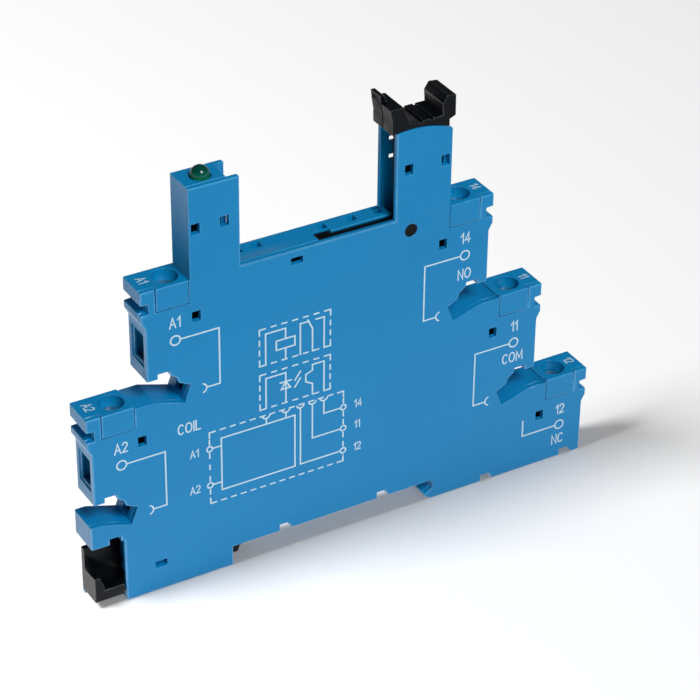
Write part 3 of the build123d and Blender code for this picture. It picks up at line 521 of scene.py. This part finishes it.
def makeScrewTree():
    tree, given = nodeTree("clampScrew", screwSizes)

    def calc(operation, first, second=0.0):
        return addNode(tree, "ShaderNodeMath", {0: first, 1: second}, operation=operation).outputs[0]

    def point(x=0.0, y=0.0, z=0.0):
        return addNode(tree, "ShaderNodeCombineXYZ", {"X": x, "Y": y, "Z": z}).outputs[0]

    def moved(geometry, place):
        return addNode(tree, "GeometryNodeTransform", {"Geometry": geometry, "Translation": place}).outputs[0]

    def drum(radius, topRadius, depth, foot):
        sizes = {"Vertices": 48, "Radius Top": topRadius, "Radius Bottom": radius, "Depth": depth}
        return moved(addNode(tree, "GeometryNodeMeshCone", sizes).outputs["Mesh"], point(z=foot))

    def boolean(operation, *cutters):
        node = tree.nodes.new("GeometryNodeMeshBoolean")
        node.operation, node.solver = operation, "EXACT"
        for cutter in cutters:
            tree.links.new(cutter, node.inputs["Mesh 2"])
        return node

    # the head stands on z = 0, in two drums so that its rim is broken
    wallHeight = calc("SUBTRACT", given["Head Height"], given["Chamfer"])
    rimRadius = calc("SUBTRACT", given["Head Radius"], given["Chamfer"])
    wall = drum(given["Head Radius"], given["Head Radius"], wallHeight, 0.0)
    rim = drum(given["Head Radius"], rimRadius, given["Chamfer"], wallHeight)
    slotMiddle = calc("SUBTRACT", given["Head Height"], calc("MULTIPLY", given["Slot Depth"], 0.5))
    slotLength = calc("MULTIPLY", given["Head Radius"], screwCut["longer"])
    slotHeight = calc("MULTIPLY", given["Slot Depth"], screwCut["deeper"])
    slotSize = point(slotLength, given["Slot Width"], slotHeight)
    slot = addNode(tree, "GeometryNodeMeshCube", {"Size": slotSize}).outputs["Mesh"]
    head = boolean("DIFFERENCE", moved(slot, point(z=slotMiddle)))
    tree.links.new(boolean("UNION", rim, wall).outputs["Mesh"], head.inputs["Mesh 1"])
    # shank and a helical ridge for its thread, one pitch short of either end
    shank = drum(given["Shank Radius"], given["Shank Radius"], given["Shank Length"],
                 calc("MULTIPLY", given["Shank Length"], -1.0))
    turns = calc("SUBTRACT", calc("DIVIDE", given["Shank Length"], given["Thread Pitch"]), 2.0)
    run = calc("MULTIPLY", turns, given["Thread Pitch"])
    winding = {"Resolution": 24, "Rotations": turns, "Height": run, "Start Radius": given["Shank Radius"],
               "End Radius": given["Shank Radius"]}
    spiral = addNode(tree, "GeometryNodeCurveSpiral", winding).outputs[0]
    section = {"Resolution": 4, "Radius": given["Thread Height"]}
    ridge = addNode(tree, "GeometryNodeCurvePrimitiveCircle", section).outputs["Curve"]
    swept = {"Curve": spiral, "Profile Curve": ridge, "Fill Caps": True}
    thread = addNode(tree, "GeometryNodeCurveToMesh", swept).outputs[0]
    thread = moved(thread, point(z=calc("SUBTRACT", given["Thread Pitch"], given["Shank Length"])))
    whole = tree.nodes.new("GeometryNodeJoinGeometry")
    for part in (thread, shank, head.outputs["Mesh"]):
        tree.links.new(part, whole.inputs[0])
    return finishTree(tree, whole.outputs[0], given["Finish"])


def treePiece(name, tree, values, mesh=None):
    # the inputs are set by their sockets' identifiers before the tree is first evaluated
    piece = meshObject(name, mesh or bpy.data.meshes.new(name))
    modifier = piece.modifiers.new(tree.name, "NODES")
    modifier.node_group = tree
    for item in tree.interface.items_tree:
        if item.item_type == "SOCKET" and item.in_out == "INPUT" and item.name in values:
            modifier[item.identifier] = values[item.name]
    return settle(piece)


screwTree = makeScrewTree()
for terminal in terminals:
    low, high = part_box("clamp_screw_" + terminal)
    screw = treePiece("clampScrew_" + terminal, screwTree, {
        "Finish": nickelPlate, "Shank Length": high.z - low.z - screwLook["headHeight"]})
    turn = Matrix.Rotation(math.radians(screwLook["slotTurn"][terminal]), 4, "Z")
    seat = Matrix.Translation(((low.x + high.x) / 2, (low.y + high.y) / 2, high.z - screwLook["headHeight"]))
    screw.data.transform(seat @ turn)
    screw.data.shade_smooth()
    screw.data.set_sharp_from_angle(angle=math.radians(screwLook["sharp"]))
    finishPiece(screw, "screw_" + terminal, "nickel_steel", "clamp_screw_" + terminal)
print("screws made")


# printing: strokes and generic terminal marks, laid on the cover and the terminal plates

ink = {"depth": 0.012 * mm, "layer": 0.0006 * mm, "line": 0.27 * mm, "mitre": 0.4, "ring": 0.85 * mm,
       "capHeight": 2.05 * mm, "smallCap": 1.6 * mm, "plateCap": 1.75 * mm, "merge": 0.001 * mm}
faceY = cadBox[0].y


def facePlace(x, z):
    # a flat drawing in x and y, stood up on the cover and facing out of it
    return Matrix.Translation((x, faceY, z)) @ Matrix.Rotation(math.pi / 2, 4, "X")


def platePlace(x, y, z):
    # reads along the carrier's thickness, with its top towards +X
    return Matrix.Translation((x, y, z)) @ Matrix.Rotation(-math.pi / 2, 4, "Z")


def stroke(bm, path, width, level):
    # one mitred line; each line of a drawing lies on its own level, so none shares a face with another
    points = [Vector((*point, 0)) for point in path]
    closed = (points[0] - points[-1]).length < ink["merge"]
    if closed:
        points.pop()
    rows = []
    for here, point in enumerate(points):
        runs = []
        if closed or here > 0:
            runs.append((point - points[here - 1]).normalized())
        if closed or here < len(points) - 1:
            runs.append((points[(here + 1) % len(points)] - point).normalized())
        if len(runs) == 1:
            point = point + runs[0] * width / 2 * (1 if here else -1)
        along = sum(runs, Vector()).normalized()
        across = Vector((-along.y, along.x, 0))
        reach = across * width / 2 / max(along.dot(runs[0]), ink["mitre"])
        lift = Vector((0, 0, ink["depth"] / 2))
        base = Vector((0, 0, level * ink["layer"]))
        corners = (point + reach + lift, point - reach + lift, point - reach - lift, point + reach - lift)
        rows.append([bm.verts.new(corner + base) for corner in corners])
    for here, row in enumerate(rows if closed else rows[:-1]):
        after = rows[(here + 1) % len(rows)]
        for side in range(4):
            near = (side + 1) % 4
            bm.faces.new((row[side], row[near], after[near], after[side]))
    if not closed:
        bm.faces.new(rows[0][::-1])
        bm.faces.new(rows[-1])


def strokeMesh(paths, width):
    bm = bmesh.new()
    for level, path in enumerate(paths):
        stroke(bm, path, width, level)
    bmesh.ops.recalc_face_normals(bm, faces=bm.faces)
    mesh = bpy.data.meshes.new("strokes")
    bm.to_mesh(mesh)
    bm.free()
    return mesh


def arc(centre, radius, start, end, steps):
    turns = [math.radians(start + (end - start) * step / steps) for step in range(steps + 1)]
    return [(centre[0] + radius * math.cos(turn), centre[1] + radius * math.sin(turn)) for turn in turns]


def oval(width, start, end):
    return [((0.5 + x) * width, 0.5 + y) for x, y in arc((0, 0), 0.5, start, end, 28)]


# plain stroke letters in cap heights: width, then lines
letters = {
    "A": (0.70, [[(0, 0), (0.35, 1), (0.70, 0)], [(0.14, 0.34), (0.56, 0.34)]]),
    "C": (0.66, [oval(0.70, 48, 312)]),
    "I": (0.0, [[(0, 0), (0, 1)]]),
    "L": (0.50, [[(0, 1), (0, 0), (0.50, 0)]]),
    "M": (0.78, [[(0, 0), (0, 1), (0.39, 0.22), (0.78, 1), (0.78, 0)]]),
    "N": (0.62, [[(0, 0), (0, 1), (0.62, 0), (0.62, 1)]]),
    "O": (0.74, [oval(0.74, 0, 360)]),
    "1": (0.28, [[(0, 0.72), (0.28, 1), (0.28, 0)]]),
    "2": (0.56, [arc((0.28, 0.72), 0.28, 165, -30, 12) + [(0, 0), (0.56, 0)]]),
    "4": (0.60, [[(0.45, 0), (0.45, 1), (0, 0.28), (0.62, 0.28)]]),
}
lettering = {"weight": 0.12, "gap": 0.27, "squeeze": 0.8}


def textMesh(words, capHeight):
    weight, gap = lettering["weight"], lettering["gap"]
    size = capHeight * (1 - weight)
    length = sum(letters[letter][0] for letter in words) + gap * (len(words) - 1)
    paths, left = [], -length / 2
    for letter in words:
        width, lines = letters[letter]
        for line in lines:
            paths.append([((left + x) * size * lettering["squeeze"], (y - 0.5) * size) for x, y in line])
        left += width + gap
    return strokeMesh(paths, capHeight * weight)


def scaled(paths):
    return [[(x * mm, z * mm) for x, z in path] for path in paths]


def joinMeshes(name, meshes, material):
    bm = bmesh.new()
    for mesh in meshes:
        bm.from_mesh(mesh)
        bpy.data.meshes.remove(mesh)
    joined = bpy.data.meshes.new(name)
    bm.to_mesh(joined)
    bm.free()
    return meshObject(name, joined, material)


terminalLook = {"headSunk": 1.85 * mm, "numberDrop": 6.9 * mm, "plateOut": 3.75 * mm, "plateY": 0.45 * mm,
                "ringDrop": 10.2, "run": 7.7, "fall": 20.65, "back": 2.4, "arm": 0.85, "shortRise": 3.15,
                "open": 70}


def axisOf(terminal):
    # the screw's axis and the level of the terminal's plate
    low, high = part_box("clamp_screw_" + terminal)
    return (low.x + high.x) / 2, high.z + terminalLook["headSunk"]


def terminalDrawing(terminal):
    # ring under the number, and a lead that turns down to the jumper slot's fork
    look = terminalLook
    side = 1 if terminal in coilSide else -1
    axis, top = (value / mm for value in axisOf(terminal))
    level = top - look["ringDrop"]
    ring = ink["ring"] / mm
    corner = axis + side * look["run"]
    paths = [arc((axis, level), ring, 0, 360, 28), [(axis + side * ring, level), (corner, level)]]
    if terminal in bridged:
        foot = top - look["fall"]
        root = corner - side * look["back"]
        mouth = root - side * look["arm"]
        middle = 0 if side > 0 else 180
        bow = arc((mouth, foot), look["arm"], middle - look["open"], middle + look["open"], 10)
        paths += [[(corner, level), (corner, foot), (root, foot)], bow]
    else:
        paths.append([(corner, level), (corner, level + look["shortRise"])])
    return scaled(paths)


wiring = {"left": -25.15, "right": -0.25, "low": 10.4, "rim": 24.4, "ring": 0.5, "pins": (21.2, 17.0, 12.5),
          "entries": (21.2, 14.05), "boxLeft": -23.0, "boxRight": -9.4, "boxLow": 12.45, "boxHigh": 22.65,
          "return": -14.72, "coil": -11.07, "taps": (-8.37, -6.12, -3.97), "relay": (34.15, 40.0),
          "pair": (25.75, 31.5), "coilLow": 36.3, "coilHigh": 38.05, "coilHalf": 1.7,
          "contact": 1.55, "blade": (0.85, 0.25, 1.55), "tip": 1.5, "diodeLow": 28.45, "diodeHigh": 29.8,
          "diodeHalf": 0.85, "barHalf": 1.0, "rays": (30.9, 29.6), "rayRun": 1.0, "rayFall": 1.4,
          "baseOut": 1.25, "base": (28.55, 29.9), "legs": (27.8, 30.4), "bow": 0.7, "bowRise": 0.05,
          "stemGap": 0.65}


def wiringDrawing():
    # plain circuit symbols: a coil and its changeover contact, a light-coupled switch, and the wiring
    look = wiring
    coil, back, rim = look["coil"], look["return"], look["rim"]
    tapA, tapB, tapC = look["taps"]
    (relayLow, relayHigh), (pairLow, pairHigh) = look["relay"], look["pair"]
    coilLow, coilHigh, half = look["coilLow"], look["coilHigh"], look["coilHalf"]
    diodeLow, diodeHigh, diodeHalf = look["diodeLow"], look["diodeHigh"], look["diodeHalf"]
    boxLeft, boxRight, boxLow, boxHigh = look["boxLeft"], look["boxRight"], look["boxLow"], look["boxHigh"]
    bladeOut, bladeRise, bladeFall = look["blade"]
    base = tapB - look["baseOut"]
    (baseLow, baseHigh), (legLow, legHigh) = look["base"], look["legs"]
    paths = [
        [(back, relayLow), (back, relayHigh), (coil, relayHigh), (coil, coilHigh)],
        [(coil - half, coilLow), (coil + half, coilLow), (coil + half, coilHigh), (coil - half, coilHigh),
         (coil - half, coilLow)],
        [(coil, coilLow), (coil, relayLow)],
        [(tapA, relayLow), (tapA, relayHigh), (tapA + look["contact"], relayHigh)],
        [(tapB - bladeOut, relayHigh + bladeRise), (tapB, relayHigh - bladeFall), (tapB, relayLow)],
        [(tapC - look["tip"], relayHigh), (tapC, relayHigh), (tapC, relayLow)],
        [(back, pairLow), (back, pairHigh), (coil, pairHigh), (coil, pairLow)],
        [(coil - look["barHalf"], diodeHigh), (coil + look["barHalf"], diodeHigh)],
        [(coil, diodeHigh), (coil - diodeHalf, diodeLow), (coil + diodeHalf, diodeLow), (coil, diodeHigh)],
        *([(tapA, ray), (tapA - look["rayRun"], ray - look["rayFall"])] for ray in look["rays"]),
        [(tapB, pairLow), (tapB, legLow), (base, baseLow), (base, baseHigh), (tapB, legHigh),
         (tapB, pairHigh), (tapC, pairHigh), (tapC, pairLow)],
        [(boxLeft, boxLow), (boxRight, boxLow), (boxRight, boxHigh), (boxLeft, boxHigh), (boxLeft, boxLow)],
    ]
    stem = rim - look["stemGap"]
    for tap, pin in zip(look["taps"], reversed(look["pins"])):
        paths.append([(look["right"] - look["ring"], pin), (tap, pin), (tap, stem)])
        paths.append(arc((look["right"], pin), look["ring"], 0, 360, 20))
    for entry in look["entries"]:
        paths.append([(look["left"] + look["ring"], entry), (boxLeft, entry)])
        paths.append(arc((look["left"], entry), look["ring"], 0, 360, 20))
    for tap in (back, coil):
        paths.append([(tap, boxHigh), (tap, stem)])
    for tap in (back, coil, tapA, tapB, tapC):
        paths.append(arc((tap, rim + look["bowRise"]), look["bow"], 200, 340, 8))
    return scaled(paths)


dashSizes = {"Pitch": 1.75 * mm, "Dash Length": 1.1 * mm, "Line Width": ink["line"],
             "Ink Depth": ink["depth"]}
dashed = {"inset": 0.65, "corner": 0.9}


def makeDashTree():
    tree, given = nodeTree("printedDashes", dashSizes)
    line = addNode(tree, "GeometryNodeMeshToCurve", {"Mesh": given["Geometry"]}).outputs[0]
    spacing = {"Curve": line, "Length": given["Pitch"]}
    even = addNode(tree, "GeometryNodeResampleCurve", spacing, mode="LENGTH").outputs[0]
    sizes = {"X": given["Dash Length"], "Y": given["Line Width"], "Z": given["Ink Depth"]}
    size = addNode(tree, "ShaderNodeCombineXYZ", sizes).outputs[0]
    dash = addNode(tree, "GeometryNodeMeshCube", {"Size": size}).outputs["Mesh"]
    tangent = {"Vector": addNode(tree, "GeometryNodeInputTangent").outputs[0]}
    turn = addNode(tree, "FunctionNodeAlignRotationToVector", tangent, axis="X", pivot_axis="Z").outputs[0]
    placed = {"Points": even, "Instance": dash, "Rotation": turn}
    return finishTree(tree, addNode(tree, "GeometryNodeInstanceOnPoints", placed).outputs[0], given["Finish"])


def polyline(paths):
    mesh = bpy.data.meshes.new("route")
    points, edges = [], []
    for path in paths:
        first = len(points)
        points += [(x, z, 0) for x, z in path]
        edges += [(first + step, first + step + 1) for step in range(len(path) - 1)]
    mesh.from_pydata(points, edges, [])
    return mesh


def rectangleSides(left, low, right, high, leftRings=(), rightRings=()):
    # the dashed sides, which stop short of the corners and of the rings
    inset = dashed["inset"]
    sides = [[(left + inset, level), (right - inset, level)] for level in (high, low)]
    for x, rings in ((left, leftRings), (right, rightRings)):
        stops = [(high, inset), *((ring, 2 * inset) for ring in rings), (low, inset)]
        for (above, upperInset), (below, lowerInset) in zip(stops, stops[1:]):
            sides.append([(x, above - upperInset), (x, below + lowerInset)])
    return sides


def rectangleCorners(left, low, right, high):
    arm = dashed["corner"]
    return [[(left, high - arm), (left, high), (left + arm, high)],
            [(right - arm, high), (right, high), (right, high - arm)],
            [(left, low + arm), (left, low), (left + arm, low)],
            [(right - arm, low), (right, low), (right, low + arm)]]


# left, low, right and high of the two plug-in units and of the carrier
frames = [(-15.85, 34.15, -2.8, 41.05), (-15.85, 25.7, -2.8, 32.4),
          (wiring["left"], wiring["low"], wiring["right"], wiring["rim"])]
sides = [side for box in frames[:2] for side in rectangleSides(*box)]
sides += rectangleSides(*frames[2], leftRings=wiring["entries"], rightRings=wiring["pins"])
corners = [corner for box in frames for corner in rectangleCorners(*box)]
dashes = treePiece("dashes", makeDashTree(), {"Finish": printInk}, polyline(scaled(sides)))

# words, the place of their middle on the cover, and the height of their letters
faceWords = [("COIL", -28.7, 26.7, "capHeight"), ("NO", 22.6, 40.25, "capHeight"),
             ("COM", 33.0, 20.55, "capHeight"), ("NC", 43.4, 0.15, "capHeight"),
             ("14", 2.55, 21.2, "smallCap"), ("11", 2.45, 17.0, "smallCap"), ("12", 2.5, 12.5, "smallCap"),
             ("A1", -27.9, 21.2, "smallCap"), ("A2", -27.9, 14.05, "smallCap")]
marks = [strokeMesh(terminalDrawing(terminal), ink["line"]) for terminal in terminals]
marks += [strokeMesh(wiringDrawing() + scaled(corners), ink["line"]), dashes.data.copy()]
marks[-1].transform(Matrix.Translation((0, 0, -ink["layer"])))
bpy.data.objects.remove(dashes)
for mesh in marks:
    mesh.transform(facePlace(0, 0))
for terminal in terminals:
    axis, top = axisOf(terminal)
    marks.append(textMesh(terminal.upper(), ink["capHeight"]))
    marks[-1].transform(facePlace(axis, top - terminalLook["numberDrop"]))
for words, x, z, height in faceWords:
    marks.append(textMesh(words, ink[height]))
    marks[-1].transform(facePlace(x * mm, z * mm))
finishPiece(joinMeshes("coverPrinting", marks, printInk), "casing", "casing_blue")

plateMarks = []
for terminal in terminals:
    axis, top = axisOf(terminal)
    away = -1 if terminal in coilSide else 1
    plateMarks.append(textMesh(terminal.upper(), ink["plateCap"]))
    spot = axis + away * terminalLook["plateOut"]
    plateMarks[-1].transform(platePlace(spot, terminalLook["plateY"], top))
finishPiece(joinMeshes("platePrinting", plateMarks, printInk), "casing", "casing_blue")
print("printing laid")


# floor, light and camera

studio = {"ambient": 0.2, "key": 7.2, "keySize": 0.4, "floorKey": 9.2, "floorKeySize": 0.32, "reach": 0.9,
          "ceiling": 0.05, "ceilingFrom": 0.16}
floorLook = {"grey": 0.82, "roughness": 0.9, "half": 3.0, "glow": 0.18, "nearGlow": 1.0, "near": 0.01,
             "far": 0.07}
camera = {"azimuth": -30.36, "elevation": 32.88, "roll": 0.64, "distance": 446.8 * mm, "lens": 140.62,
          "sensor": 36, "aimRight": 1.35 * mm, "aimUp": -4.74 * mm}
centre = (cadBox[0] + cadBox[1]) / 2


def outward(azimuth, elevation):
    # a direction away from the object, azimuth counted from the cover side towards +X
    azimuth, elevation = math.radians(azimuth), math.radians(elevation)
    level = math.cos(elevation)
    return Vector((math.sin(azimuth) * level, -math.cos(azimuth) * level, math.sin(elevation)))


def areaLight(name, way, size, power):
    data = bpy.data.lights.new(name, "AREA")
    data.shape = "DISK"
    data.size = size
    data.energy = power
    lamp = bpy.data.objects.new(name, data)
    lamp.location = centre + way * studio["reach"]
    lamp.rotation_mode = "QUATERNION"
    lamp.rotation_quaternion = (centre - lamp.location).to_track_quat("-Z", "Y")
    scene.collection.objects.link(lamp)
    return lamp


def makeFloor():
    # a pale floor that keeps its shadow; a faint glow brings the rest of it near to white
    look = floorLook
    material = newMaterial("paleFloor", (look["grey"],) * 3, look["roughness"])
    tree = material.node_tree
    shader = shaderOf(material)
    shader.inputs["Specular IOR Level"].default_value = 0.0
    rays = addNode(tree, "ShaderNodeLightPath").outputs
    depth = addNode(tree, "ShaderNodeSeparateXYZ", {"Vector": objectPoint(tree)}).outputs["Y"]
    depth = addNode(tree, "ShaderNodeMath", {0: depth}, operation="ABSOLUTE").outputs[0]
    # seen in reflections, the floor glows brighter close to the object: a painted reflection that lightens
    # the casing's lower faces
    mirrored = spread(tree, depth, look["nearGlow"], look["glow"], look["near"], look["far"])
    direct = {0: rays["Is Camera Ray"], 1: look["glow"]}
    direct = addNode(tree, "ShaderNodeMath", direct, operation="MULTIPLY").outputs[0]
    mixed = {"Factor": rays["Is Glossy Ray"], "A": direct, "B": mirrored}
    glow = addNode(tree, "ShaderNodeMix", mixed).outputs[0]
    light = addNode(tree, "ShaderNodeEmission", {"Color": (1, 1, 1, 1), "Strength": glow}).outputs[0]
    both = addNode(tree, "ShaderNodeAddShader", {0: shader.outputs[0], 1: light}).outputs[0]
    tree.links.new(both, tree.nodes["Material Output"].inputs["Surface"])
    mesh = bpy.data.meshes.new("floor")
    half, level = look["half"], cadBox[0].z
    mesh.from_pydata([(-half, -half, level), (half, -half, level), (half, half, level), (-half, half, level)],
                     [], [(0, 1, 2, 3)])
    floor = meshObject("floor", mesh, material)
    return floor


def litBy(lamp, floor, only):
    # a lamp that lights the floor only, or everything but the floor
    group = bpy.data.collections.new(lamp.name + "Reach")
    group.objects.link(floor)
    lamp.light_linking.receiver_collection = group
    group.collection_objects[0].light_linking.link_state = "INCLUDE" if only else "EXCLUDE"


def makeWorld():
    world = bpy.data.worlds.new("studio")
    scene.world = world
    world.use_nodes = True
    tree = world.node_tree
    back = tree.nodes["Background"]
    rays = addNode(tree, "ShaderNodeLightPath").outputs
    seen = {0: rays["Is Camera Ray"], 1: rays["Is Transmission Ray"]}
    seen = addNode(tree, "ShaderNodeMath", seen, operation="MAXIMUM").outputs[0]
    # mirrored, the backdrop is white near the horizon and greyer overhead
    direction = addNode(tree, "ShaderNodeTexCoord").outputs["Generated"]
    height = addNode(tree, "ShaderNodeSeparateXYZ", {"Vector": direction}).outputs["Z"]
    mirrored = spread(tree, height, 1.0, studio["ceiling"], 0.0, studio["ceilingFrom"])
    unseen = {"Factor": rays["Is Glossy Ray"], "A": studio["ambient"], "B": mirrored}
    strength = {"Factor": seen, "A": addNode(tree, "ShaderNodeMix", unseen).outputs[0], "B": 1.0}
    tree.links.new(addNode(tree, "ShaderNodeMix", strength).outputs[0], back.inputs["Strength"])
    back.inputs["Color"].default_value = (1, 1, 1, 1)


def makeCamera():
    back = outward(camera["azimuth"], camera["elevation"])
    roll = Matrix.Rotation(math.radians(camera["roll"]), 3, "Z")
    turn = (-back).to_track_quat("-Z", "Y").to_matrix() @ roll
    data = bpy.data.cameras.new("camera")
    data.lens = camera["lens"]
    data.sensor_width = camera["sensor"]
    data.clip_start, data.clip_end = 0.01, 20
    view = bpy.data.objects.new("camera", data)
    right, up = turn.col[0], turn.col[1]
    place = centre + right * camera["aimRight"] + up * camera["aimUp"] + back * camera["distance"]
    view.matrix_world = Matrix.Translation(place) @ turn.to_4x4()
    scene.collection.objects.link(view)
    scene.camera = view


floor = makeFloor()
makeWorld()
litBy(areaLight("keyLight", outward(4, 50), studio["keySize"], studio["key"]), floor, only=False)
litBy(areaLight("floorLight", outward(-98, 52), studio["floorKeySize"], studio["floorKey"]), floor, only=True)
makeCamera()
scene.view_settings.view_transform = "Standard"
print("stage set")
